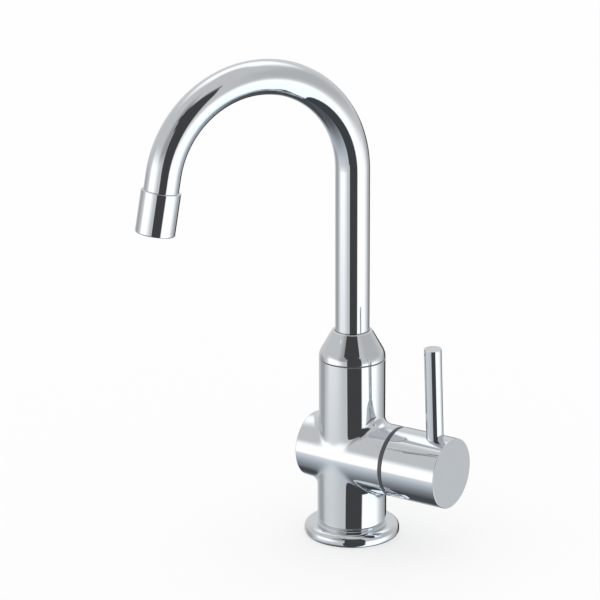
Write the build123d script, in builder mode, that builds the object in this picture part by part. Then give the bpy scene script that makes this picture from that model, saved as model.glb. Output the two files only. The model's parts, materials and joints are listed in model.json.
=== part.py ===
from build123d import *

import os
from math import cos, degrees, radians, sin, sqrt, tan

# Single-hole gooseneck basin faucet with a side lever, as separate pieces, in millimetres.
# Origin: centre of the underside, on the deck. +Z up, +X along the barrel to the handle, -Y towards the user.
os.makedirs("parts", exist_ok=True)

# Clearances
thread_gap = 0.05  # radial, between a thread and its hole, both drawn plain
snug_gap = 0.03  # radial, in a soldered joint or round a pin or plug in its seat
running_gap = 0.05  # radial, between a turning shaft and its bore
slide_gap = 0.05  # axial, between a turning face and its thrust ring
free_gap = 0.3  # between faces that pass each other and never touch
ring_bite = 0.02  # how far a seal stays short of the wall it runs on
lap_gap = 0.02  # water film between the two ceramic discs

# Base flange
flange_w = 8.5  # reach beyond the column's foot
flange_rim_t = 8.3  # thickness at the rim's crown
rim_crown_r = 4.3  # rounding of the rim's upper side
rim_sole_r = 2.6  # rounding of the rim's lower side
flange_slope = 3.0  # degrees, down from the crown to the collar
flange_hollow_r = 0.3  # fillet where the slope meets the collar
collar_h = 1.5  # collar above the rim's crown, as wide as the column's foot
seam_gap = 0.2  # fine line between the collar and the column
collar_edge = 0.3  # rounding on the collar's upper edge

# Body: column
collar_wall = 1.9  # flange's collar, around the spigot; its outside is the column's foot
column_step = 1.0  # how much slimmer the column is above the barrel, in radius
barrel_rise = 45.9  # from the column's foot to the barrel's axis
column_rise = 63.7  # from the barrel's axis to the column's top
spigot_wall = 2.4  # spigot inside the flange, around the inlet block
foot_ring_wire = 1.2  # seal between the spigot and the flange
foot_ring_z = 4.4
foot_edge = 0.3  # rounding on the lower edge of the column's foot
column_edge = 0.3

# Body: barrel, which tapers gently towards its blind end
barrel_wall = 2.75  # outside the cartridge nut
barrel_taper = 2.6  # degrees, at the blind end
barrel_taper_end = 2.2  # from the column's axis to where the taper would run out
barrel_soften_l = 8.0  # each side of the place where the taper runs out
barrel_mouth = 34.0  # from the column's axis to the mouth
barrel_blind = 30.2  # from the column's axis to the blind end
barrel_blind_edge = 0.9
barrel_mouth_edge = 0.25
cross_fillet = 5.5  # cast fillet where the column meets the barrel

# Inlet block in the column's foot
block_d = 36.0
block_h = 26.0
inlet_r = 4.5  # M10 x 1, core radius
inlet_depth = 12.0
inlet_back = 5.5  # from the column's axis, away from the handle
inlet_side = 8.5  # from the column's axis, to either side
stud_r = 3.4  # M8, core radius
stud_depth = 16.0
stud_offset = 8.5  # from the column's axis, towards the handle
supply_r = 3.0  # waterway to the cartridge
face_seal_wire = 1.2
face_seal_land = 0.6  # metal between a waterway and its seal
gasket_t = 2.0
gasket_w = 2.4
gasket_land = 1.0  # flange metal between the gasket and the rim's rounding

# Cartridge, stacked along the barrel from the socket's floor
cartridge_d = 35.0
socket_gap = 0.1
base_t = 5.0
fixed_disc_t = 3.5
moving_disc_t = 3.5
moving_disc_play = 0.5  # round the moving disc, in the housing
carrier_t = 3.5
roof_t = 3.2  # housing's shoulder, which the nut presses on
housing_wall = 2.2
neck_step = 5.0  # from the housing's outside to its neck
neck_h = 13.5  # housing's neck, above its shoulder
port_edge = 1.3  # moving disc's rim, outside the two inlet ports
port_half_angle = 30.0  # each inlet port's centre, from straight down
port_span = 35.0  # length of each inlet port, as an angle
port_w = 4.0  # radial width of an inlet port
port_bridge = 5.5  # from the inlet ports to the outlet
port_seal_wire = 1.2
port_seal_land = 0.2  # wall between a port and its seal
pocket_lap = 1.0  # moving disc's pocket, round the outlet
pocket_arm_w = 5.0
pocket_depth = 1.8
arm_span = 40.0  # outer end of the pocket, as an angle
peg_r = 1.4  # pegs of the cartridge
peg_h = 1.5
base_peg_edge = 2.6  # base's rim, outside the pegs that locate it in its socket
base_peg_half_angle = 60.0
key_edge = 3.8  # fixed disc's rim, outside the pegs that hold it
key_half_angle = 50.0
drive_edge = 3.9  # moving disc's rim, outside the pegs that turn it
drive_half_angle = 40.0

# Handle: closed at rest, opened by pulling the lever over towards the user
lever_lean = 3.5  # the lever's lean towards the user when closed
closed_margin = 7.5  # land between the pocket and the first port when closed
stop_edge = 0.9  # carrier's rim, outside the peg that ends the travel

# Spindle
spindle_r = 7.0
spindle_flange_edge = 0.7  # between the hexagonal drive flange and the stop's peg
spindle_flange_t = 2.0
spindle_square = 9.0
square_start = 0.5  # from the housing's neck to the square
square_l = 12.0
square_gap = 0.05  # each side, in the cap's hub
spindle_ring_wire = 1.7
spindle_ring_x = 6.0  # from the housing's shoulder
ring_play = 0.2  # groove's width over the ring's

# Cartridge nut and shroud ring
nut_reach = 2.45  # nut's thread, outside the cartridge
nut_thread_l = 8.5
nut_bore_gap = 0.3
nut_collar_l = 2.9
nut_hex_step = 0.65  # from the thread to the hexagon's corners
nut_hex_l = 3.0
shroud_t = 2.5
shroud_step = 0.15  # how far the dark ring lies below the barrel's surface

# Handle cap and lever
cap_l = 38.6
cap_wall = 2.3
cap_face_t = 3.0
cap_edge = 0.35
rim_edge = 0.25
hub_r = 10.0
hub_start = 5.2  # from the cap's rim to the hub
lever_d = 11.2
lever_from_face = 11.8
lever_top = 82.7  # from the barrel's axis
lever_seat_depth = 3.55  # lever's seat, below the cap's outside
lever_boss_r = 8.5
lever_stud_r = 4.0
lever_stud_l = 9.5
lever_edge = 0.4
grub_r = 2.5
grub_l = 5.0
grub_hex_af = 2.5
grub_hex_depth = 2.5
grub_from_hub = 4.5  # from the hub's start to the grub screw's axis
cover_r = 3.2
cover_t = 2.0

# Spout swivel, measured down from the column's top
column_wall = 3.4  # outside the bonnet's threaded skirt
skirt_l = 7.6
skirt_wall = 1.8
counterbore_depth = 9.6
spout_bore_depth = 33.6
outlet_way_r = 4.4  # waterway from the cartridge up to the spout
outlet_way_back = 6.5  # from the column's axis, away from the handle
slide_ring_t = 1.2
lower_ring_step = 1.0  # from the skirt's outside to the lower slide ring
swivel_collar_t = 2.5
swivel_collar_play = 0.6  # round the sleeve's collar, in the skirt
sleeve_lower_l = 22.0  # sleeve below its collar
sleeve_upper_l = 4.2  # sleeve above its collar
sleeve_bore_wall = 2.5  # step below the tube's end
sleeve_lower_wall = 2.02
sleeve_upper_wall = 1.7
tube_seat_depth = 14.0
o_ring_wire = 2.4
o_ring_start_l = 4.5  # from the sleeve's lower end to its first ring
o_ring_pitch = 6.0

# Bonnet
bonnet_ring_t = 0.6
bonnet_ring_step = 0.5
bonnet_band = 3.3
bonnet_cone_h = 15.1
bonnet_top_wall = 1.85  # round the tube, at the bonnet's top
bonnet_shoulder_r = 11.0
bonnet_lip_r = 0.8
bonnet_relief_gap = 1.5  # round the sleeve's upper end
bonnet_relief_h = 15.0

# Gooseneck tube
tube_d = 22.0
tube_wall = 1.2
riser_l = 106.6  # from the bonnet's top to the bend
bend_r = 65.7
bend_angle = 170.0
tip_l = 10.0  # straight tube between the bend and the aerator shell
spout_heading = 240.9  # plan direction of the spout in the photograph

# Aerator
shell_wall = 1.45  # round the tube
shell_l = 27.0
shell_edge = 1.0
shell_top_edge = 0.3
shell_ledge_t = 0.8  # ledge at the mouth that carries the insert
shell_ledge_w = 1.5
outlet_gasket_t = 1.6
outlet_gasket_w = 2.4
screen_t = 0.6
screen_hole_r = 0.6
screen_pitch = 1.7
insert_step = 0.6  # how much slimmer the insert is than the tube, in radius
insert_wall = 1.2
insert_l = 13.0
insert_floor_t = 1.6
insert_hole_r = 0.8
insert_hole_inset = 3.2  # from the cup's wall to the ring of jets
insert_holes = 12
straightener_t = 4.0
straightener_rim = 0.5
cell_r = 1.15
cell_pitch = 2.5

# Levels along Z
foot_z = flange_rim_t + collar_h + seam_gap
barrel_z = foot_z + barrel_rise
column_top = barrel_z + column_rise
bonnet_z = column_top + bonnet_ring_t
shoulder_z = bonnet_z + bonnet_band
bonnet_top = shoulder_z + bonnet_cone_h
bend_z = bonnet_top + riser_l

# Places along X
nut_seat_x = barrel_mouth - nut_thread_l
roof_x = nut_seat_x - roof_t
carrier_x = roof_x - free_gap - carrier_t
moving_x = carrier_x - moving_disc_t
fixed_x = moving_x - lap_gap - fixed_disc_t
base_x = fixed_x - base_t
rim_x = barrel_mouth + shroud_t + free_gap
face_x = rim_x + cap_l
hub_x = rim_x + hub_start
lever_x = face_x - lever_from_face
neck_x = nut_seat_x + neck_h

# Radii of the foot and column, outwards from the inlet block
spigot_r = block_d / 2 + thread_gap + spigot_wall
flange_bore_r = spigot_r + thread_gap
foot_r = flange_bore_r + collar_wall
flange_r = foot_r + flange_w
column_r = foot_r - column_step
skirt_r = column_r - column_wall
skirt_bore_r = skirt_r - skirt_wall

# Radii of the barrel and the handle's cap, outwards from the cartridge
housing_r = cartridge_d / 2
socket_r = housing_r + socket_gap
nut_r = housing_r + nut_reach
barrel_r = nut_r + thread_gap + barrel_wall
blind_r = barrel_r - (barrel_blind + barrel_taper_end) * tan(radians(barrel_taper))
cap_r = barrel_r
cap_inner_r = cap_r - cap_wall
lever_seat = cap_r - lever_seat_depth

# Radii inside the cartridge, inwards from its housing
disc_room_r = housing_r - housing_wall
fixed_disc_r = disc_room_r - socket_gap
disc_r = disc_room_r - moving_disc_play
port_outer_r = disc_r - port_edge
port_inner_r = port_outer_r - port_w
port_circle_r = (port_outer_r + port_inner_r) / 2
outlet_port_r = port_inner_r - port_bridge
pocket_r = outlet_port_r + pocket_lap
base_peg_circle_r = housing_r - base_peg_edge - peg_r
key_circle_r = fixed_disc_r - key_edge - peg_r
drive_circle_r = disc_r - drive_edge - peg_r
stop_circle_r = disc_r - stop_edge - peg_r
spindle_flange_r = stop_circle_r - peg_r - spindle_flange_edge
neck_r = housing_r - neck_step
nut_bore_r = neck_r + nut_bore_gap

# Radii of the swivel and the aerator, from the tube
tube_r = tube_d / 2
sleeve_r = tube_r + snug_gap + sleeve_lower_wall
sleeve_top_r = tube_r + snug_gap + sleeve_upper_wall
sleeve_bore_r = tube_r - sleeve_bore_wall
spout_bore_r = sleeve_r + running_gap
bonnet_top_r = tube_r + bonnet_top_wall
shell_r = tube_r + shell_wall
insert_r = tube_r - insert_step
insert_inner_r = insert_r - insert_wall
insert_hole_circle_r = insert_inner_r - insert_hole_inset
shell_mouth_r = insert_r - shell_ledge_w


def across(x):
    """Plane square to the barrel at x: its normal is +X and its own Y is up."""
    return Plane(origin=(x, 0, barrel_z), x_dir=(0, 1, 0), z_dir=(1, 0, 0))


def turned(turn, radius):
    """Point in an across() plane, turned from straight up towards the user."""
    return (-radius * sin(radians(turn)), radius * cos(radians(turn)))


def sector(turn, span, inner, outer):
    """Ring segment with round ends in the current sketch, centred on turn; span counts the ends."""
    mid = (inner + outer) / 2
    end_angle = degrees((outer - inner) / 2 / mid)
    arc_span = span - 2 * end_angle
    start = 90 + turn - arc_span / 2
    SlotArc(arc=CenterArc((0, 0), mid, start, arc_span, mode=Mode.PRIVATE), height=outer - inner)


# Waterways between the inlet block, the cartridge and the spout
inlet_places = [(-inlet_back, -inlet_side), (-inlet_back, inlet_side)]
port_turns = (180 - port_half_angle, 180 + port_half_angle)
port_places = [turned(turn, port_circle_r) for turn in port_turns]
supply_z = barrel_z - port_circle_r * cos(radians(port_half_angle))
base_peg_places = [turned(side * base_peg_half_angle, base_peg_circle_r) for side in (-1, 1)]

# Base flange: rounded rim, top sloping down to a raised collar, a groove for each seal
crown_centre = (flange_r - rim_crown_r, flange_rim_t - rim_crown_r)
sole_centre = (flange_r - rim_sole_r, rim_sole_r)
slope_start_r = crown_centre[0] - rim_crown_r * sin(radians(flange_slope))
slope_start_z = crown_centre[1] + rim_crown_r * cos(radians(flange_slope))
hollow_z = slope_start_z - (slope_start_r - foot_r) * tan(radians(flange_slope))
gasket_outer = sole_centre[0] - gasket_land
gasket_inner = gasket_outer - gasket_w
foot_groove_h = foot_ring_wire + ring_play
with BuildPart() as base_flange:
    with BuildSketch(Plane.XZ) as flange_profile:
        with BuildLine():
            sole = CenterArc(sole_centre, rim_sole_r, 270, 90)
            crown = CenterArc(crown_centre, rim_crown_r, 0, 90 + flange_slope)
            Line(sole @ 1, crown @ 0)
            Polyline(
                crown @ 1,
                (foot_r, hollow_z),
                (foot_r, flange_rim_t + collar_h),
                (flange_bore_r, flange_rim_t + collar_h),
                (flange_bore_r, 0),
                sole @ 0,
            )
        make_face()
        collar_corner = flange_profile.vertices().group_by(Axis.Y)[-1].sort_by(Axis.X)[-1]
        fillet(collar_corner, collar_edge)
        hollow = flange_profile.vertices().sort_by_distance((foot_r, hollow_z))[0]
        fillet(hollow, flange_hollow_r)
    revolve(axis=Axis.Z)
    with BuildSketch():
        Circle(gasket_outer)
        Circle(gasket_inner, mode=Mode.SUBTRACT)
    extrude(amount=gasket_t, mode=Mode.SUBTRACT)
    with BuildSketch(Plane.XY.offset(foot_ring_z - foot_groove_h / 2)):
        Circle(spigot_r + foot_ring_wire + 2 * ring_bite)
        Circle(spigot_r, mode=Mode.SUBTRACT)
    extrude(amount=foot_groove_h, mode=Mode.SUBTRACT)
base_flange.part.label = "base_flange"
export_step(base_flange.part, "parts/base_flange.step")

# Base gasket: flat rubber ring in the flange's underside
with BuildPart() as base_gasket:
    with BuildSketch():
        Circle(gasket_outer - ring_bite)
        Circle(gasket_inner + ring_bite, mode=Mode.SUBTRACT)
    extrude(amount=gasket_t)
base_gasket.part.label = "base_gasket"
export_step(base_gasket.part, "parts/base_gasket.step")

# Foot ring: rubber ring between the spigot and the flange
with BuildPart(Plane.XY.offset(foot_ring_z)) as foot_o_ring:
    Torus(spigot_r + ring_bite + foot_ring_wire / 2, foot_ring_wire / 2)
foot_o_ring.part.label = "foot_o_ring"
export_step(foot_o_ring.part, "parts/foot_o_ring.step")

# Inlet block: brass plug in the foot with the two hose inlets and the stud's hole
face_seal_r = supply_r + face_seal_land + face_seal_wire / 2
face_seal_depth = face_seal_wire + 2 * ring_bite
with BuildPart() as inlet_block:
    with BuildSketch():
        Circle(block_d / 2)
    extrude(amount=block_h)
    with BuildSketch():
        with Locations(*inlet_places):
            Circle(inlet_r)
    extrude(amount=inlet_depth, mode=Mode.SUBTRACT)
    with BuildSketch():
        with Locations(*inlet_places):
            Circle(supply_r)
    extrude(amount=block_h, mode=Mode.SUBTRACT)
    with BuildSketch(Plane.XY.offset(block_h)):
        with Locations(*inlet_places):
            Circle(face_seal_r + face_seal_wire / 2 + ring_bite)
    extrude(amount=-face_seal_depth, mode=Mode.SUBTRACT)
    with BuildSketch():
        with Locations((stud_offset, 0)):
            Circle(stud_r)
    extrude(amount=stud_depth, mode=Mode.SUBTRACT)
inlet_block.part.label = "inlet_block"
export_step(inlet_block.part, "parts/inlet_block.step")

# Inlet seals: one ring round each waterway, between the block and the body
with BuildPart(Plane.XY.offset(block_h - face_seal_depth / 2)) as inlet_seals:
    with Locations(*inlet_places):
        Torus(face_seal_r, face_seal_wire / 2)
inlet_seals.part.label = "inlet_seals"
export_step(inlet_seals.part, "parts/inlet_seals.step")

# Body: cast cross of a column and a barrel, filleted where they meet
soften_r = barrel_soften_l / tan(radians(barrel_taper / 2))
with BuildPart() as body:
    with BuildSketch(Plane.XZ) as column_profile:
        with BuildLine():
            Polyline(
                (0, 0),
                (spigot_r, 0),
                (spigot_r, foot_z),
                (foot_r, foot_z),
                (foot_r, barrel_z),
                (column_r, barrel_z),
                (column_r, column_top),
                (0, column_top),
                close=True,
            )
        make_face()
        foot_corner = column_profile.vertices().group_by(Axis.X)[-1].sort_by(Axis.Y)[0]
        fillet(foot_corner, foot_edge)
    revolve(axis=Axis.Z)
    with BuildSketch(Plane.XZ) as barrel_profile:
        with BuildLine():
            Polyline(
                (-barrel_blind, barrel_z),
                (-barrel_blind, barrel_z + blind_r),
                (barrel_taper_end, barrel_z + barrel_r),
                (barrel_mouth, barrel_z + barrel_r),
                (barrel_mouth, barrel_z),
                close=True,
            )
        make_face()
        soft_corner = barrel_profile.vertices().group_by(Axis.Y)[-1].sort_by(Axis.X)[0]
        fillet(soft_corner, soften_r)
    revolve(axis=Axis((0, 0, barrel_z), (1, 0, 0)))
    crossing = body.edges().filter_by(GeomType.CIRCLE, reverse=True).filter_by(GeomType.LINE, reverse=True)
    fillet(crossing, cross_fillet)
    fillet(body.faces().sort_by(Axis.X)[0].edges(), barrel_blind_edge)
    fillet(body.faces().sort_by(Axis.X)[-1].edges(), barrel_mouth_edge)
    fillet(body.faces().sort_by(Axis.Z)[-1].edges(), column_edge)
    # Foot, for the inlet block
    with BuildSketch():
        Circle(block_d / 2 + thread_gap)
    extrude(amount=block_h, mode=Mode.SUBTRACT)
    # Mouth of the barrel, for the cartridge and its nut
    with BuildSketch(across(base_x)):
        Circle(socket_r)
    extrude(amount=barrel_mouth - base_x, mode=Mode.SUBTRACT)
    with BuildSketch(across(nut_seat_x)):
        Circle(nut_r + thread_gap)
    extrude(amount=nut_thread_l, mode=Mode.SUBTRACT)
    with BuildSketch(across(base_x)):
        with Locations(*base_peg_places):
            Circle(peg_r + running_gap)
    extrude(amount=-peg_h - free_gap, mode=Mode.SUBTRACT)
    # Top of the column, for the bonnet and the spout's sleeve
    with BuildSketch(Plane.XY.offset(column_top)):
        Circle(skirt_r + thread_gap)
    extrude(amount=-counterbore_depth, mode=Mode.SUBTRACT)
    with BuildSketch(Plane.XY.offset(column_top)):
        Circle(spout_bore_r)
    extrude(amount=-spout_bore_depth, mode=Mode.SUBTRACT)
    # Waterways from the inlet block to the cartridge
    with BuildSketch(Plane.XY.offset(block_h)):
        with Locations(*inlet_places):
            Circle(supply_r)
    extrude(amount=supply_z + supply_r - block_h, mode=Mode.SUBTRACT)
    with BuildSketch(across(base_x)):
        with Locations(*port_places):
            Circle(supply_r)
    extrude(amount=-base_x - inlet_back - supply_r, mode=Mode.SUBTRACT)
    # Waterway from the cartridge to the spout
    with BuildSketch(across(base_x)):
        Circle(outlet_port_r)
    extrude(amount=-base_x - outlet_way_back - outlet_way_r, mode=Mode.SUBTRACT)
    with BuildSketch(Plane.XY.offset(barrel_z)):
        with Locations((-outlet_way_back, 0)):
            Circle(outlet_way_r)
    extrude(amount=column_rise - spout_bore_depth, mode=Mode.SUBTRACT)
body.part.label = "body"
export_step(body.part, "parts/body.step")

# Cartridge base: ported foot with pegs for its socket and for the fixed disc
port_seal_r = supply_r + port_seal_land + port_seal_wire / 2
outlet_seal_r = outlet_port_r + port_seal_land + port_seal_wire / 2
port_seal_depth = port_seal_wire + 2 * ring_bite
key_places = [turned(side * key_half_angle, key_circle_r) for side in (-1, 1)]
with BuildPart() as cartridge_base:
    with BuildSketch(across(base_x)):
        Circle(housing_r)
        Circle(outlet_port_r, mode=Mode.SUBTRACT)
        with Locations(*port_places):
            Circle(supply_r, mode=Mode.SUBTRACT)
    extrude(amount=base_t)
    with BuildSketch(across(base_x)):
        Circle(outlet_seal_r + port_seal_wire / 2 + ring_bite)
        with Locations(*port_places):
            Circle(port_seal_r + port_seal_wire / 2 + ring_bite)
    extrude(amount=port_seal_depth, mode=Mode.SUBTRACT)
    with BuildSketch(across(base_x)):
        with Locations(*base_peg_places):
            Circle(peg_r)
    extrude(amount=-peg_h)
    with BuildSketch(across(fixed_x)):
        with Locations(*key_places):
            Circle(peg_r)
    extrude(amount=peg_h)
cartridge_base.part.label = "cartridge_base"
export_step(cartridge_base.part, "parts/cartridge_base.step")

# Port seals: a ring round each port, on the socket's floor
with BuildPart(across(base_x + port_seal_depth / 2)) as port_seals:
    Torus(outlet_seal_r, port_seal_wire / 2)
    with Locations(*port_places):
        Torus(port_seal_r, port_seal_wire / 2)
port_seals.part.label = "port_seals"
export_step(port_seals.part, "parts/port_seals.step")

# Fixed disc: ceramic, with two curved inlet ports round the outlet
with BuildPart() as fixed_disc:
    with BuildSketch(across(fixed_x)):
        Circle(fixed_disc_r)
    extrude(amount=fixed_disc_t)
    with BuildSketch(across(fixed_x)):
        Circle(outlet_port_r)
        for turn in port_turns:
            sector(turn, port_span, port_inner_r, port_outer_r)
    extrude(amount=fixed_disc_t, mode=Mode.SUBTRACT)
    with BuildSketch(across(fixed_x)):
        with Locations(*key_places):
            Circle(peg_r + running_gap)
    extrude(amount=peg_h + socket_gap, mode=Mode.SUBTRACT)
fixed_disc.part.label = "fixed_disc"
export_step(fixed_disc.part, "parts/fixed_disc.step")

# Moving disc: ceramic, with a pocket that leads a port's water to the outlet
# Closed, the pocket's outer end lies just short of the cold port; fully turned, it covers the hot one
pocket_turn = port_turns[0] - (port_span + arm_span) / 2 - closed_margin
handle_travel = port_turns[1] - pocket_turn
drive_turns = [pocket_turn + 180 + side * drive_half_angle for side in (-1, 1)]
drive_places = [turned(turn, drive_circle_r) for turn in drive_turns]
with BuildPart() as moving_disc:
    with BuildSketch(across(moving_x)):
        Circle(disc_r)
    extrude(amount=moving_disc_t)
    with BuildSketch(across(moving_x)):
        Circle(pocket_r)
        sector(pocket_turn, arm_span, port_inner_r, port_outer_r)
        with Locations(turned(pocket_turn, port_circle_r / 2)):
            Rectangle(pocket_arm_w, port_circle_r, rotation=pocket_turn)
    extrude(amount=pocket_depth, mode=Mode.SUBTRACT)
    with BuildSketch(across(carrier_x)):
        with Locations(*drive_places):
            Circle(peg_r + running_gap)
    extrude(amount=-peg_h - socket_gap, mode=Mode.SUBTRACT)
moving_disc.part.label = "moving_disc"
export_step(moving_disc.part, "parts/moving_disc.step")

# Disc carrier: takes the spindle's turn to the moving disc, and stops at the end of the travel
carrier_face_x = carrier_x + carrier_t
with BuildPart() as disc_carrier:
    with BuildSketch(across(carrier_x)):
        Circle(disc_r)
    extrude(amount=carrier_t)
    with BuildSketch(across(carrier_x)):
        with Locations(*drive_places):
            Circle(peg_r)
    extrude(amount=-peg_h)
    with BuildSketch(across(carrier_face_x)):
        with Locations(turned(-handle_travel / 2, stop_circle_r)):
            Circle(peg_r)
    extrude(amount=peg_h)
    with BuildSketch(across(carrier_face_x)):
        RegularPolygon(spindle_flange_r + running_gap, 6, rotation=lever_lean)
    extrude(amount=-spindle_flange_t, mode=Mode.SUBTRACT)
disc_carrier.part.label = "disc_carrier"
export_step(disc_carrier.part, "parts/disc_carrier.step")

# Spindle: hexagonal flange in the carrier, ringed shaft, square end for the cap
square_x = neck_x + square_start
spindle_ring_r = spindle_r + running_gap - ring_bite - spindle_ring_wire / 2
spindle_groove_w = spindle_ring_wire + ring_play
with BuildPart() as spindle:
    with BuildSketch(across(carrier_face_x - spindle_flange_t)):
        RegularPolygon(spindle_flange_r, 6, rotation=lever_lean)
    extrude(amount=spindle_flange_t)
    with BuildSketch(across(carrier_face_x)):
        Circle(spindle_r)
    extrude(amount=square_x - carrier_face_x)
    with BuildSketch(across(square_x)):
        Rectangle(spindle_square, spindle_square, rotation=lever_lean)
    extrude(amount=square_l)
    with BuildSketch(across(nut_seat_x + spindle_ring_x - spindle_groove_w / 2)):
        Circle(spindle_r)
        Circle(spindle_ring_r - spindle_ring_wire / 2 - ring_bite, mode=Mode.SUBTRACT)
    extrude(amount=spindle_groove_w, mode=Mode.SUBTRACT)
spindle.part.label = "spindle"
export_step(spindle.part, "parts/spindle.step")

# Spindle ring: keeps the water behind the housing's neck
with BuildPart(across(nut_seat_x + spindle_ring_x)) as spindle_o_ring:
    Torus(spindle_ring_r, spindle_ring_wire / 2)
spindle_o_ring.part.label = "spindle_o_ring"
export_step(spindle_o_ring.part, "parts/spindle_o_ring.step")

# Cartridge housing: room for the discs, shoulder with the stop's groove, neck for the spindle
stop_arc = CenterArc((0, 0), stop_circle_r, 90 - handle_travel / 2, handle_travel)
with BuildPart() as cartridge_housing:
    with BuildSketch(across(fixed_x)):
        Circle(housing_r)
    extrude(amount=nut_seat_x - fixed_x)
    with BuildSketch(across(nut_seat_x)):
        Circle(neck_r)
    extrude(amount=neck_h)
    with BuildSketch(across(fixed_x)):
        Circle(disc_room_r)
    extrude(amount=roof_x - fixed_x, mode=Mode.SUBTRACT)
    with BuildSketch(across(roof_x)):
        Circle(spindle_r + running_gap)
    extrude(amount=neck_x - roof_x, mode=Mode.SUBTRACT)
    with BuildSketch(across(roof_x)):
        SlotArc(arc=stop_arc, height=2 * (peg_r + free_gap))
    extrude(amount=peg_h, mode=Mode.SUBTRACT)
cartridge_housing.part.label = "cartridge_housing"
export_step(cartridge_housing.part, "parts/cartridge_housing.step")

# Cartridge nut: screwed into the barrel's mouth, with a collar for the shroud ring and a hexagon
nut_face_x = nut_seat_x + nut_thread_l + nut_collar_l
with BuildPart() as cartridge_nut:
    with BuildSketch(across(nut_seat_x)):
        Circle(nut_r)
    extrude(amount=nut_thread_l + nut_collar_l)
    with BuildSketch(across(nut_face_x)):
        RegularPolygon(nut_r - nut_hex_step, 6)
    extrude(amount=nut_hex_l)
    with BuildSketch(across(nut_seat_x)):
        Circle(nut_bore_r)
    extrude(amount=nut_thread_l + nut_collar_l + nut_hex_l, mode=Mode.SUBTRACT)
cartridge_nut.part.label = "cartridge_nut"
export_step(cartridge_nut.part, "parts/cartridge_nut.step")

# Shroud ring: dark ring between the barrel and the handle's cap
with BuildPart() as shroud_ring:
    with BuildSketch(across(barrel_mouth)):
        Circle(cap_r - shroud_step)
        Circle(nut_r + thread_gap, mode=Mode.SUBTRACT)
    extrude(amount=shroud_t)
shroud_ring.part.label = "shroud_ring"
export_step(shroud_ring.part, "parts/shroud_ring.step")


def on_lever(height):
    """Plane square to the lever, at a height along it from the barrel's axis."""
    lean = radians(lever_lean)
    return Plane((lever_x, 0, barrel_z), x_dir=(1, 0, 0), z_dir=(0, -sin(lean), cos(lean))).offset(height)


def on_screw(depth):
    """Plane square to the grub screw, opposite the lever, at a depth from the barrel's axis."""
    lean = radians(lever_lean)
    screw_x = hub_x + grub_from_hub
    return Plane((screw_x, 0, barrel_z), x_dir=(1, 0, 0), z_dir=(0, sin(lean), -cos(lean))).offset(depth)


# Handle cap: shell with a squared hub for the spindle and a boss for the lever
cap_floor_x = face_x - cap_face_t
bore_half = spindle_square / 2 + square_gap
with BuildPart() as handle_cap:
    with BuildSketch(on_lever(0)):
        Circle(lever_boss_r)
    extrude(amount=cap_r)
    with BuildSketch(across(rim_x)):
        Circle(cap_r)
    extrude(amount=cap_l, mode=Mode.INTERSECT)
    with BuildSketch(across(hub_x)):
        Circle(hub_r)
    extrude(amount=cap_floor_x - hub_x)
    with BuildSketch(across(rim_x)):
        Circle(cap_r)
        Circle(cap_inner_r, mode=Mode.SUBTRACT)
    extrude(amount=cap_l)
    with BuildSketch(across(cap_floor_x)):
        Circle(cap_inner_r)
    extrude(amount=cap_face_t)
    fillet(handle_cap.faces().sort_by(Axis.X)[-1].edges(), cap_edge)
    outer_rim = handle_cap.faces().sort_by(Axis.X)[0].edges().sort_by(SortBy.LENGTH)[-1]
    fillet(outer_rim, rim_edge)
    with BuildSketch(across(hub_x)):
        Rectangle(2 * bore_half, 2 * bore_half, rotation=lever_lean)
    extrude(amount=square_x + square_l + free_gap - hub_x, mode=Mode.SUBTRACT)
    with BuildSketch(on_lever(lever_seat)):
        Circle(lever_d / 2 + snug_gap)
    extrude(amount=cap_r, mode=Mode.SUBTRACT)
    with BuildSketch(on_lever(lever_seat)):
        Circle(lever_stud_r + thread_gap)
    extrude(amount=-lever_stud_l - free_gap, mode=Mode.SUBTRACT)
    with BuildSketch(on_screw(0)):
        Circle(grub_r + thread_gap)
    extrude(amount=hub_r, mode=Mode.SUBTRACT)
    with BuildSketch(on_screw(hub_r)):
        Circle(cover_r + snug_gap)
    extrude(amount=cap_r, mode=Mode.SUBTRACT)
handle_cap.part.label = "handle_cap"
export_step(handle_cap.part, "parts/handle_cap.step")

# Lever: plain pin with a threaded stud below its seat
with BuildPart() as lever:
    with BuildSketch(on_lever(lever_seat)):
        Circle(lever_d / 2)
    extrude(amount=lever_top - lever_seat)
    fillet(lever.faces().sort_by(Axis.Z)[-1].edges(), lever_edge)
    with BuildSketch(on_lever(lever_seat)):
        Circle(lever_stud_r)
    extrude(amount=-lever_stud_l)
lever.part.label = "lever"
export_step(lever.part, "parts/lever.step")

# Grub screw: clamps the cap on the spindle's square
with BuildPart() as grub_screw:
    with BuildSketch(on_screw(spindle_square / 2)):
        Circle(grub_r)
    extrude(amount=grub_l)
    with BuildSketch(on_screw(spindle_square / 2 + grub_l)):
        RegularPolygon(grub_hex_af / 2, 6, major_radius=False)
    extrude(amount=-grub_hex_depth, mode=Mode.SUBTRACT)
grub_screw.part.label = "grub_screw"
export_step(grub_screw.part, "parts/grub_screw.step")

# Screw cover: plug in the cap's wall, flush with its curve
with BuildPart() as screw_cover:
    with BuildSketch(on_screw(0)):
        Circle(cover_r)
    extrude(amount=cap_r)
    with BuildSketch(across(rim_x)):
        Circle(cap_r)
        Circle(cap_r - cover_t, mode=Mode.SUBTRACT)
    extrude(amount=cap_l, mode=Mode.INTERSECT)
screw_cover.part.label = "screw_cover"
export_step(screw_cover.part, "parts/screw_cover.step")

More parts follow.
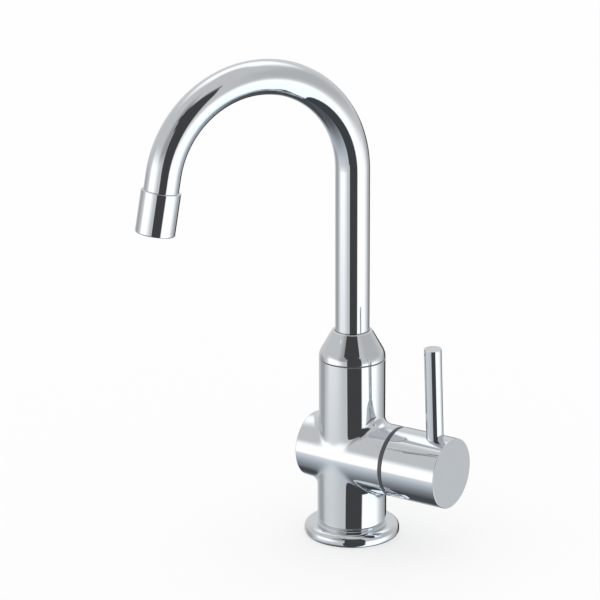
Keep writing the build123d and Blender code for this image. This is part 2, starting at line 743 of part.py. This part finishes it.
# Swivel, upwards from the ledge in the column's top
ledge_z = column_top - counterbore_depth
collar_z = ledge_z + slide_ring_t + slide_gap
upper_ring_z = collar_z + swivel_collar_t + slide_gap
press_z = upper_ring_z + slide_ring_t
sleeve_z = collar_z - sleeve_lower_l
sleeve_top = collar_z + swivel_collar_t + sleeve_upper_l
tube_z = sleeve_top - tube_seat_depth
o_ring_r = spout_bore_r - ring_bite - o_ring_wire / 2
o_groove_w = o_ring_wire + ring_play
o_ring_levels = [sleeve_z + o_ring_start_l + step * o_ring_pitch for step in range(2)]

# Swivel sleeve: soldered on the tube's foot, turns in the column
with BuildPart() as swivel_sleeve:
    with BuildSketch(Plane.XY.offset(sleeve_z)):
        Circle(sleeve_r)
    extrude(amount=collar_z - sleeve_z)
    with BuildSketch(Plane.XY.offset(collar_z)):
        Circle(skirt_bore_r - swivel_collar_play)
    extrude(amount=swivel_collar_t)
    with BuildSketch(Plane.XY.offset(collar_z)):
        Circle(sleeve_top_r)
    extrude(amount=sleeve_top - collar_z)
    with BuildSketch(Plane.XY.offset(sleeve_z)):
        Circle(sleeve_bore_r)
    extrude(amount=sleeve_top - sleeve_z, mode=Mode.SUBTRACT)
    with BuildSketch(Plane.XY.offset(tube_z)):
        Circle(tube_r + snug_gap)
    extrude(amount=tube_seat_depth, mode=Mode.SUBTRACT)
    for level in o_ring_levels:
        with BuildSketch(Plane.XY.offset(level - o_groove_w / 2)):
            Circle(sleeve_r)
            Circle(o_ring_r - o_ring_wire / 2 - ring_bite, mode=Mode.SUBTRACT)
        extrude(amount=o_groove_w, mode=Mode.SUBTRACT)
swivel_sleeve.part.label = "swivel_sleeve"
export_step(swivel_sleeve.part, "parts/swivel_sleeve.step")

# Spout rings: two rubber rings in the sleeve's grooves
with BuildPart() as spout_o_rings:
    with Locations(*[(0, 0, level) for level in o_ring_levels]):
        Torus(o_ring_r, o_ring_wire / 2)
spout_o_rings.part.label = "spout_o_rings"
export_step(spout_o_rings.part, "parts/spout_o_rings.step")

# Lower slide ring: under the sleeve's collar
with BuildPart() as lower_slide_ring:
    with BuildSketch(Plane.XY.offset(ledge_z)):
        Circle(skirt_r - lower_ring_step)
        Circle(spout_bore_r + free_gap, mode=Mode.SUBTRACT)
    extrude(amount=slide_ring_t)
lower_slide_ring.part.label = "lower_slide_ring"
export_step(lower_slide_ring.part, "parts/lower_slide_ring.step")

# Upper slide ring: over the collar, pressed by the bonnet
with BuildPart() as upper_slide_ring:
    with BuildSketch(Plane.XY.offset(upper_ring_z)):
        Circle(skirt_bore_r - socket_gap)
        Circle(sleeve_top_r + free_gap, mode=Mode.SUBTRACT)
    extrude(amount=slide_ring_t)
upper_slide_ring.part.label = "upper_slide_ring"
export_step(upper_slide_ring.part, "parts/upper_slide_ring.step")

# Bonnet ring: thin dark ring between the column and the bonnet
with BuildPart() as bonnet_ring:
    with BuildSketch(Plane.XY.offset(column_top)):
        Circle(column_r - bonnet_ring_step)
        Circle(skirt_r + socket_gap, mode=Mode.SUBTRACT)
    extrude(amount=bonnet_ring_t)
bonnet_ring.part.label = "bonnet_ring"
export_step(bonnet_ring.part, "parts/bonnet_ring.step")

# Bonnet: conical nut that keeps the sleeve in the column
bonnet_relief_r = sleeve_top_r + bonnet_relief_gap
with BuildPart() as bonnet:
    with BuildSketch(Plane.XZ) as bonnet_profile:
        with BuildLine():
            Polyline(
                (skirt_bore_r, column_top - skirt_l),
                (skirt_r, column_top - skirt_l),
                (skirt_r, bonnet_z),
                (column_r, bonnet_z),
                (column_r, shoulder_z),
                (bonnet_top_r, bonnet_top),
                (tube_r + free_gap, bonnet_top),
                (tube_r + free_gap, press_z + bonnet_relief_h),
                (bonnet_relief_r, press_z + bonnet_relief_h),
                (bonnet_relief_r, press_z),
                (skirt_bore_r, press_z),
                close=True,
            )
        make_face()
        top_corner = bonnet_profile.vertices().group_by(Axis.Y)[-1].sort_by(Axis.X)[-1]
        fillet(top_corner, bonnet_lip_r)
        shoulder = bonnet_profile.vertices().group_by(Axis.X)[-1].sort_by(Axis.Y)[-1]
        fillet(shoulder, bonnet_shoulder_r)
        band_foot = bonnet_profile.vertices().group_by(Axis.X)[-1].sort_by(Axis.Y)[0]
        fillet(band_foot, column_edge)
    revolve(axis=Axis.Z)
bonnet.part.label = "bonnet"
export_step(bonnet.part, "parts/bonnet.step")

# Aerator, along the spout's tip from the top of its shell
gasket_s = shell_l - shell_ledge_t - insert_l - screen_t - outlet_gasket_t
screen_s = gasket_s + outlet_gasket_t
insert_s = screen_s + screen_t
ledge_s = insert_s + insert_l
heading = (cos(radians(spout_heading)), sin(radians(spout_heading)))
tip_turn = radians(bend_angle)
shell_reach = bend_r * (1 - cos(tip_turn)) + tip_l * sin(tip_turn)
shell_top_z = bend_z + bend_r * sin(tip_turn) + tip_l * cos(tip_turn)
tip_direction = (heading[0] * sin(tip_turn), heading[1] * sin(tip_turn), cos(tip_turn))
shell_plane = Plane(
    (heading[0] * shell_reach, heading[1] * shell_reach, shell_top_z),
    x_dir=(heading[1], -heading[0], 0),
    z_dir=tip_direction,
)

# Spout tube: riser, gooseneck bend and tip in one bent tube
spout_plane = Plane((0, 0, 0), x_dir=(*heading, 0), z_dir=(heading[1], -heading[0], 0))
with BuildPart() as spout_tube:
    with BuildLine(spout_plane) as spout_path:
        riser = Line((0, tube_z), (0, bend_z))
        bend = JernArc(riser @ 1, riser % 1, bend_r, -bend_angle)
        Line(bend @ 1, (bend @ 1) + (bend % 1) * (tip_l + gasket_s))
    with BuildSketch(Plane.XY.offset(tube_z)):
        Circle(tube_r)
        Circle(tube_r - tube_wall, mode=Mode.SUBTRACT)
    sweep(path=spout_path.wire())
spout_tube.part.label = "spout_tube"
export_step(spout_tube.part, "parts/spout_tube.step")

# Aerator shell: sleeve on the tube's tip with a ledge at its mouth
with BuildPart() as aerator_shell:
    with BuildSketch(shell_plane):
        Circle(shell_r)
    extrude(amount=shell_l)
    shell_ends = aerator_shell.faces().filter_by(GeomType.PLANE).sort_by(Axis.Z)
    fillet(shell_ends[0].edges(), shell_edge)
    shell_ends = aerator_shell.faces().filter_by(GeomType.PLANE).sort_by(Axis.Z)
    fillet(shell_ends[-1].edges(), shell_top_edge)
    with BuildSketch(shell_plane):
        Circle(tube_r + thread_gap)
    extrude(amount=screen_s, mode=Mode.SUBTRACT)
    with BuildSketch(shell_plane):
        Circle(insert_r + thread_gap)
    extrude(amount=ledge_s, mode=Mode.SUBTRACT)
    with BuildSketch(shell_plane):
        Circle(shell_mouth_r)
    extrude(amount=shell_l, mode=Mode.SUBTRACT)
aerator_shell.part.label = "aerator_shell"
export_step(aerator_shell.part, "parts/aerator_shell.step")

# Aerator gasket: under the tube's end
with BuildPart() as aerator_gasket:
    with BuildSketch(shell_plane.offset(gasket_s)):
        Circle(tube_r)
        Circle(tube_r - outlet_gasket_w, mode=Mode.SUBTRACT)
    extrude(amount=outlet_gasket_t)
aerator_gasket.part.label = "aerator_gasket"
export_step(aerator_gasket.part, "parts/aerator_gasket.step")


def packed(pitch, limit_r):
    """Points of a hexagonal grid within limit_r of the centre."""
    row_step = pitch * sqrt(3) / 2
    rows = int(limit_r / row_step)
    columns = int(limit_r / pitch) + 1
    points = []
    for row in range(-rows, rows + 1):
        shift = pitch / 2 * (row % 2)
        for column in range(-columns, columns + 1):
            point = (column * pitch + shift, row * row_step)
            if point[0] ** 2 + point[1] ** 2 <= limit_r**2:
                points.append(point)
    return points


# Aerator screen: fine sieve over the insert
with BuildPart() as aerator_screen:
    with BuildSketch(shell_plane.offset(screen_s)):
        Circle(insert_r)
        with Locations(*packed(screen_pitch, shell_mouth_r - screen_hole_r)):
            Circle(screen_hole_r, mode=Mode.SUBTRACT)
    extrude(amount=screen_t)
aerator_screen.part.label = "aerator_screen"
export_step(aerator_screen.part, "parts/aerator_screen.step")

# Aerator insert: cup with a ring of jets in its floor
with BuildPart() as aerator_insert:
    with BuildSketch(shell_plane.offset(insert_s)):
        Circle(insert_r)
        with PolarLocations(insert_hole_circle_r, insert_holes):
            Circle(insert_hole_r, mode=Mode.SUBTRACT)
    extrude(amount=insert_l)
    with BuildSketch(shell_plane.offset(insert_s + insert_floor_t)):
        Circle(insert_inner_r)
    extrude(amount=insert_l - insert_floor_t, mode=Mode.SUBTRACT)
aerator_insert.part.label = "aerator_insert"
export_step(aerator_insert.part, "parts/aerator_insert.step")

# Stream straightener: honeycomb at the mouth, seen from below
straightener_r = insert_inner_r - socket_gap
with BuildPart() as stream_straightener:
    with BuildSketch(shell_plane.offset(ledge_s - straightener_t)):
        Circle(straightener_r)
        with Locations(*packed(cell_pitch, straightener_r - straightener_rim - cell_r)):
            RegularPolygon(cell_r, 6, rotation=30, mode=Mode.SUBTRACT)
    extrude(amount=straightener_t)
stream_straightener.part.label = "stream_straightener"
export_step(stream_straightener.part, "parts/stream_straightener.step")
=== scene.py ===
import json
from math import cos, radians, sin

import bpy
from mathutils import Matrix, Vector


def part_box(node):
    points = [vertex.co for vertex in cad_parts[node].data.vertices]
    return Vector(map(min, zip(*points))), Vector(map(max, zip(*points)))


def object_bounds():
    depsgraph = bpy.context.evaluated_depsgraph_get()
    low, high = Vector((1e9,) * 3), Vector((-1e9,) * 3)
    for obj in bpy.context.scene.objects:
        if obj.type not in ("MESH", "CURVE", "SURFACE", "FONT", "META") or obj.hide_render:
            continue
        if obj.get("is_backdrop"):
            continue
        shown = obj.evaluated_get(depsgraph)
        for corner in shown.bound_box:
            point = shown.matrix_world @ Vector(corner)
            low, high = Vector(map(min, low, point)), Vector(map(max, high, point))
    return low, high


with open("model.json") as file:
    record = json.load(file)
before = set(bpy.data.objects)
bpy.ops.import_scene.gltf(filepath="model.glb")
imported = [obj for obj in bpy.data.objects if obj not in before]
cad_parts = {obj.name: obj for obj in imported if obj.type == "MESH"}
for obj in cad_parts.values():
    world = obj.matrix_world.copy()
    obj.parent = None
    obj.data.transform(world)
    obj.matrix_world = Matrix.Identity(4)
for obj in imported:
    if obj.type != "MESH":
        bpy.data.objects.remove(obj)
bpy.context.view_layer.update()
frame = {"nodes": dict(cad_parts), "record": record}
nodes = frame["nodes"]
slot_colours = {entry["slot"]: entry["base_color"] for entry in frame["record"]["materials"]}

# Camera, at the photograph's viewing angle: angles in degrees, places in metres, lens in millimetres
AZIMUTH = 34.17
ELEVATION = 17.23
ROLL = -0.19
TARGET = Vector((-0.02762, -0.01875, 0.15846))
DISTANCE = 1.94285
LENS = 182.68
SENSOR = 36.0
CLIP_NEAR = 0.05
CLIP_FAR = 20.0

azimuth = radians(AZIMUTH)
elevation = radians(ELEVATION)
back = Vector((sin(azimuth) * cos(elevation), -cos(azimuth) * cos(elevation), sin(elevation)))
camera_data = bpy.data.cameras.new("camera")
camera_data.lens = LENS
camera_data.sensor_width = SENSOR
camera_data.clip_start = CLIP_NEAR
camera_data.clip_end = CLIP_FAR
camera = bpy.data.objects.new("camera", camera_data)
bpy.context.scene.collection.objects.link(camera)
camera.location = TARGET + back * DISTANCE
facing = (-back).to_track_quat("-Z", "Y").to_matrix()
camera.rotation_euler = (facing @ Matrix.Rotation(radians(ROLL), 3, "Z")).to_euler()
bpy.context.scene.camera = camera
bpy.context.scene.view_settings.view_transform = "Standard"


class Tree:
    """Small helper that adds and links shader nodes."""

    def __init__(self, owner):
        owner.use_nodes = True
        self.tree = owner.node_tree
        self.tree.nodes.clear()

    def add(self, kind, **settings):
        """New node of this kind, with its settings."""
        node = self.tree.nodes.new(kind)
        for name, value in settings.items():
            setattr(node, name, value)
        return node

    def feed(self, socket, value):
        """Links value to socket if it is an output, and otherwise sets it."""
        if isinstance(value, bpy.types.NodeSocket):
            self.tree.links.new(value, socket)
        else:
            socket.default_value = value

    def feed_all(self, node, **values):
        """Feeds named inputs, with an underscore for each space in a name."""
        for name, value in values.items():
            self.feed(node.inputs[name.replace("_", " ")], value)

    def math(self, operation, *values):
        """Result of one math operation."""
        node = self.add("ShaderNodeMath", operation=operation)
        for socket, value in zip(node.inputs, values):
            self.feed(socket, value)
        return node.outputs[0]

    def remap(self, value, low, high, to_low=0.0, to_high=1.0, smooth=True):
        """Value moved from one range to another, with soft ends unless smooth is off."""
        node = self.add("ShaderNodeMapRange", interpolation_type="SMOOTHSTEP" if smooth else "LINEAR")
        self.feed_all(node, Value=value, From_Min=low, From_Max=high, To_Min=to_low, To_Max=to_high)
        return node.outputs["Result"]

    def mix(self, factor, first, second):
        """Colour between first and second."""
        node = self.add("ShaderNodeMix", data_type="RGBA")
        self.feed_all(node, Factor=factor, A=first, B=second)
        return node.outputs["Result"]

    def blend(self, factor, first, second):
        """Number between first and second."""
        node = self.add("ShaderNodeMix", data_type="FLOAT")
        self.feed_all(node, Factor=factor, A=first, B=second)
        return node.outputs["Result"]


def grey(level):
    """Linear value of an 8-bit screen grey, by the sRGB curve."""
    share = level / 255
    return ((share + 0.055) / 1.055) ** 2.4


# Studio, as seen by glossy rays only: a dark flag round the camera, and soft panels on a grey room.
# Angles are in degrees, and bearings run from the camera's direction.
CHROME_GAIN = 0.82
ROOM_TURNS = (-68.0, -20.0)  # heights between which the room turns from dark to pale
ROOM_DARK = 82
ROOM_PALE = 188
FLAG_GREY = 62
LOW_TINT = (0.92, 1.0, 1.08)  # the room's lower part is a little bluish
TINT_TURNS = (-16.0, -36.0)  # heights between which that tint comes in


def seen(level):
    """Radiance that polished chrome shows as this screen grey."""
    return grey(level) / CHROME_GAIN


world = bpy.data.worlds.new("studio")
bpy.context.scene.world = world
studio = Tree(world)
place = studio.add("ShaderNodeTexCoord")
turn = studio.add("ShaderNodeVectorRotate", rotation_type="Z_AXIS")
studio.feed_all(turn, Vector=place.outputs["Generated"], Angle=radians(90 - AZIMUTH))
parts = studio.add("ShaderNodeSeparateXYZ")
studio.feed_all(parts, Vector=turn.outputs["Vector"])
around = studio.math("DEGREES", studio.math("ARCTAN2", parts.outputs["Y"], parts.outputs["X"]))
height = studio.math("DEGREES", studio.math("ARCSINE", parts.outputs["Z"]))
either_side = studio.math("ABSOLUTE", around)

# Each panel: its radiance, its bearings and its heights, both as (outer, full, full, outer), and
# what the bearings are measured on. Later panels lie over earlier ones.
PANELS = {
    "pale wall behind": (seen(200), (120, 165, 200, 201), (-14, 4, 30, 34), either_side),
    "bright strip above it": (seen(254), (98, 144, 200, 201), (30, 50, 66, 76), either_side),
    "dark floor behind": (seen(70), (100, 130, 200, 201), (-91, -90, -52, -36), either_side),
    "darker patch behind on the left": (seen(155), (-150, -135, -116, -104), (-34, -26, -10, 2), around),
    "grey screen on the left": (seen(204), (-108, -90, -76, -26), (-34, -18, 0, 20), around),
    "soft box above it": (1.3, (-99, -82, -62, -24), (-21.5, -13, 2, 22), around),
    "darker screen beside it": (seen(150), (-62, -36, -19, -18), (4, 16, 46, 70), around),
    "grey wall on the right": (seen(174), (36, 60, 100, 140), (2, 14, 36, 60), around),
    "white box below it": (1.25, (33, 34, 80, 116), (-88, -80, -16, 4), around),
    "grey upright behind it": (seen(150), (112, 142, 180, 181), (-50, -40, -8, 2), around),
    "dark upright behind that": (seen(45), (142, 148, 180, 181), (-50, -40, -8, 2), around),
    "flag's head": (seen(FLAG_GREY), (-28, -27, 25, 27), (26, 30, 44, 52), around),
    "flag's head, wider": (seen(FLAG_GREY), (-36, -34, 29, 31), (37, 38.5, 42.5, 44), around),
    "flag round the camera": (seen(FLAG_GREY), (-19, -18, 30, 32), (-91, -90, 30, 33), around),
    "flag's foot, wider": (seen(FLAG_GREY), (-23, -22, 30, 32), (-91, -90, -20.6, -20.2), around),
}

level = studio.remap(height, *ROOM_TURNS, seen(ROOM_DARK), seen(ROOM_PALE))
for radiance, bearings, heights, bearing in PANELS.values():
    left = studio.remap(bearing, bearings[0], bearings[1])
    right = studio.remap(bearing, bearings[3], bearings[2])
    low = studio.remap(height, heights[0], heights[1])
    high = studio.remap(height, heights[3], heights[2])
    sides = studio.math("MULTIPLY", left, right)
    mask = studio.math("MULTIPLY", sides, studio.math("MULTIPLY", low, high))
    level = studio.blend(mask, level, radiance)

lowness = studio.remap(height, *TINT_TURNS, smooth=False)
rays = studio.add("ShaderNodeLightPath")
colour = studio.add("ShaderNodeCombineColor")
for channel, tint in zip(colour.inputs, LOW_TINT):
    shown = studio.math("MULTIPLY", level, studio.blend(lowness, 1.0, tint))
    tone = studio.blend(rays.outputs["Is Glossy Ray"], 1.0, shown)
    tone = studio.blend(rays.outputs["Is Camera Ray"], tone, 1.0)
    studio.feed(channel, tone)
background = studio.add("ShaderNodeBackground")
studio.feed_all(background, Color=colour.outputs["Color"])
output = studio.add("ShaderNodeOutputWorld")
studio.feed_all(output, Surface=background.outputs["Background"])

# Materials: noise scales are per metre, and distances are in metres
NOISE_SPAN = (0.3, 0.7)  # most of the noise's values
HAZE_SCALE = 45.0
LINE_SCALE = 300.0
WAVE_SCALE = 28.0
LINE_SHARE = 0.2  # of polishing lines in the chrome's relief
HAZE_LIFT = 1.05
CHROME_ROUGHNESS = (0.015, 0.045)
CHROME_RELIEF = (0.02, 0.0004)  # strength and distance
CROSSING_FULL = 0.011  # the softening is full up to this distance from the barrel's axis
CROSSING_REACH = 0.023  # and ends here
CROSSING_RADIUS = 0.007  # over which it averages the normal
MARK_SCALE = 600.0
STAIN_SCALE = 90.0
STAIN_SHADES = (0.86, 1.08)
METAL_RELIEF = 0.0003
CLOUD_SCALE = 70.0
CLOUD_SHADES = (0.85, 1.15)
ROUGHNESS_SWING = 0.08
MOULDED_RELIEF = 0.0002


def surface(name):
    """New material with a Principled shader: returns (material, tree, shader)."""
    material = bpy.data.materials.new(name)
    tree = Tree(material)
    shader = tree.add("ShaderNodeBsdfPrincipled")
    end = tree.add("ShaderNodeOutputMaterial")
    tree.feed_all(end, Surface=shader.outputs["BSDF"])
    return material, tree, shader


def spread(tree, scale, stretch=(1, 1, 1), detail=2.0):
    """Noise over the object's own coordinates, stretched along its axes."""
    place = tree.add("ShaderNodeTexCoord")
    mapping = tree.add("ShaderNodeMapping")
    tree.feed_all(mapping, Scale=stretch, Vector=place.outputs["Object"])
    noise = tree.add("ShaderNodeTexNoise")
    tree.feed_all(noise, Scale=scale, Detail=detail, Vector=mapping.outputs["Vector"])
    return noise.outputs["Fac"]


def shade(colour, gain):
    """Colour made lighter or darker, with its alpha."""
    return (*[min(1.0, channel * gain) for channel in colour], 1.0)


def bump(tree, shader, height, strength, distance, normal=None):
    """Relief on the shader's normal."""
    node = tree.add("ShaderNodeBump")
    tree.feed_all(node, Strength=strength, Distance=distance, Height=height)
    if normal:
        tree.feed_all(node, Normal=normal)
    tree.feed_all(shader, Normal=node.outputs["Normal"])


def run_together(tree, centre):
    """Normal averaged over the surface round an axis along Y, and left plain further off."""
    place = tree.add("ShaderNodeTexCoord")
    offset = tree.add("ShaderNodeVectorMath", operation="SUBTRACT")
    tree.feed(offset.inputs[0], place.outputs["Object"])
    tree.feed(offset.inputs[1], centre)
    sideways = tree.add("ShaderNodeVectorMath", operation="MULTIPLY")
    tree.feed(sideways.inputs[0], offset.outputs["Vector"])
    tree.feed(sideways.inputs[1], (1, 0, 1))
    span = tree.add("ShaderNodeVectorMath", operation="LENGTH")
    tree.feed(span.inputs[0], sideways.outputs["Vector"])
    averaged = tree.add("ShaderNodeBevel", samples=16)
    tree.feed_all(averaged, Radius=CROSSING_RADIUS)
    plain = tree.add("ShaderNodeNewGeometry")
    mixed = tree.add("ShaderNodeMix", data_type="VECTOR")
    share = tree.remap(span.outputs["Value"], CROSSING_REACH, CROSSING_FULL)
    tree.feed_all(mixed, Factor=share, A=plain.outputs["Normal"], B=averaged.outputs["Normal"])
    unit = tree.add("ShaderNodeVectorMath", operation="NORMALIZE")
    tree.feed(unit.inputs[0], mixed.outputs["Result"])
    return unit.outputs["Vector"]


def chrome(name, stretch=(1.0, 1.0, 1.0), crossing=None):
    """Polished plate: faint polishing lines along one way, slow waviness and a little haze."""
    material, tree, shader = surface(name)
    colour = slot_colours["chrome"]
    haze = spread(tree, HAZE_SCALE, detail=3.0)
    lines = spread(tree, LINE_SCALE, stretch, detail=3.0)
    tint = tree.mix(haze, shade(colour, 1.0), shade(colour, HAZE_LIFT))
    rough = tree.remap(tree.blend(0.5, haze, lines), *NOISE_SPAN, *CHROME_ROUGHNESS)
    tree.feed_all(shader, Metallic=1.0, Base_Color=tint, Roughness=rough)
    normal = run_together(tree, crossing) if crossing else None
    bump(tree, shader, tree.blend(LINE_SHARE, spread(tree, WAVE_SCALE), lines), *CHROME_RELIEF, normal)
    return material


def metal(name, slot, roughness, stretch, strength):
    """Machined metal with turning marks."""
    material, tree, shader = surface(name)
    colour = slot_colours[slot]
    marks = spread(tree, MARK_SCALE, stretch, detail=4.0)
    stain = spread(tree, STAIN_SCALE, detail=4.0)
    tint = tree.mix(stain, *[shade(colour, gain) for gain in STAIN_SHADES])
    rough = tree.remap(marks, *NOISE_SPAN, *roughness)
    tree.feed_all(shader, Metallic=1.0, Base_Color=tint, Roughness=rough)
    bump(tree, shader, marks, strength, METAL_RELIEF)
    return material


def moulded(name, slot, roughness, grain, strength):
    """Moulded plastic, rubber or ceramic with a fine grain."""
    material, tree, shader = surface(name)
    colour = slot_colours[slot]
    texture = spread(tree, grain, detail=4.0)
    cloud = spread(tree, CLOUD_SCALE, detail=3.0)
    tint = tree.mix(cloud, *[shade(colour, gain) for gain in CLOUD_SHADES])
    rough = tree.remap(texture, *NOISE_SPAN, roughness - ROUGHNESS_SWING, roughness + ROUGHNESS_SWING)
    tree.feed_all(shader, Base_Color=tint, Roughness=rough)
    bump(tree, shader, texture, strength, MOULDED_RELIEF)
    return material


nut_low, nut_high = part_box("cartridge_nut")
barrel_axis = (0, 0, (nut_low[2] + nut_high[2]) / 2)
upright_chrome = chrome("upright_chrome", (0.2, 0.2, 8.0))
level_chrome = chrome("level_chrome", (8.0, 0.2, 0.2))
tube_chrome = chrome("tube_chrome")
cast_chrome = chrome("cast_chrome", crossing=barrel_axis)
turned_brass = metal("turned_brass", "brass", (0.22, 0.38), (0.3, 0.3, 6.0), 0.15)
barrel_brass = metal("barrel_brass", "brass", (0.22, 0.38), (6.0, 0.3, 0.3), 0.15)
plain_steel = metal("plain_steel", "steel", (0.2, 0.35), (1.0, 1.0, 1.0), 0.1)

# Pieces with a finish of their own, and what the others take from their slot
FINISHES = {
    "base_flange": upright_chrome,
    "body": cast_chrome,
    "bonnet": upright_chrome,
    "spout_tube": tube_chrome,
    "aerator_shell": upright_chrome,
    "handle_cap": level_chrome,
    "lever": upright_chrome,
    "inlet_block": turned_brass,
    "swivel_sleeve": turned_brass,
    "cartridge_nut": barrel_brass,
    "spindle": barrel_brass,
    "grub_screw": plain_steel,
    "aerator_screen": plain_steel,
}
SLOT_FINISHES = {
    "ceramic": moulded("lapped_ceramic", "ceramic", 0.22, 1500.0, 0.02),
    "rubber": moulded("black_rubber", "rubber", 0.6, 2600.0, 0.12),
    "dark_plastic": moulded("dark_plastic", "dark_plastic", 0.36, 2200.0, 0.08),
    "housing_plastic": moulded("housing_plastic", "housing_plastic", 0.42, 1800.0, 0.1),
    "pale_plastic": moulded("pale_plastic", "pale_plastic", 0.38, 1800.0, 0.08),
}
for entry in frame["record"]["subparts"]:
    name = entry["node"]
    finish = FINISHES.get(name) or SLOT_FINISHES[entry["material_slot"]]
    mesh = nodes[name].data
    mesh.materials.clear()
    mesh.materials.append(finish)

# Floor: white paper, with only a faint shadow for the camera
FLOOR_SIZE = 16.0
FLOOR_GLOW = 0.6
PAPER_SCALE = 400.0
PAPER_DARK = (0.965, 0.965, 0.965, 1)
PAPER_PALE = (0.985, 0.985, 0.985, 1)
material, tree, shader = surface("pale_floor")
paper = tree.mix(spread(tree, PAPER_SCALE, detail=3.0), PAPER_DARK, PAPER_PALE)
tree.feed_all(shader, Roughness=0.9, Specular_IOR_Level=0.0, Base_Color=paper)
glow = tree.add("ShaderNodeEmission")
sheet = tree.add("ShaderNodeMixShader")
sight = tree.add("ShaderNodeLightPath")
tree.feed(sheet.inputs[0], tree.math("MULTIPLY", sight.outputs["Is Camera Ray"], FLOOR_GLOW))
tree.feed(sheet.inputs[1], shader.outputs["BSDF"])
tree.feed(sheet.inputs[2], glow.outputs["Emission"])
paper_output = tree.tree.nodes["Material Output"]
tree.feed_all(paper_output, Surface=sheet.outputs["Shader"])
bpy.ops.mesh.primitive_plane_add(size=FLOOR_SIZE, location=(0, 0, 0))
floor = bpy.context.active_object
floor.name = "floor"
floor.data.materials.append(material)
floor.visible_glossy = False
floor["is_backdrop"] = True

low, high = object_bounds()
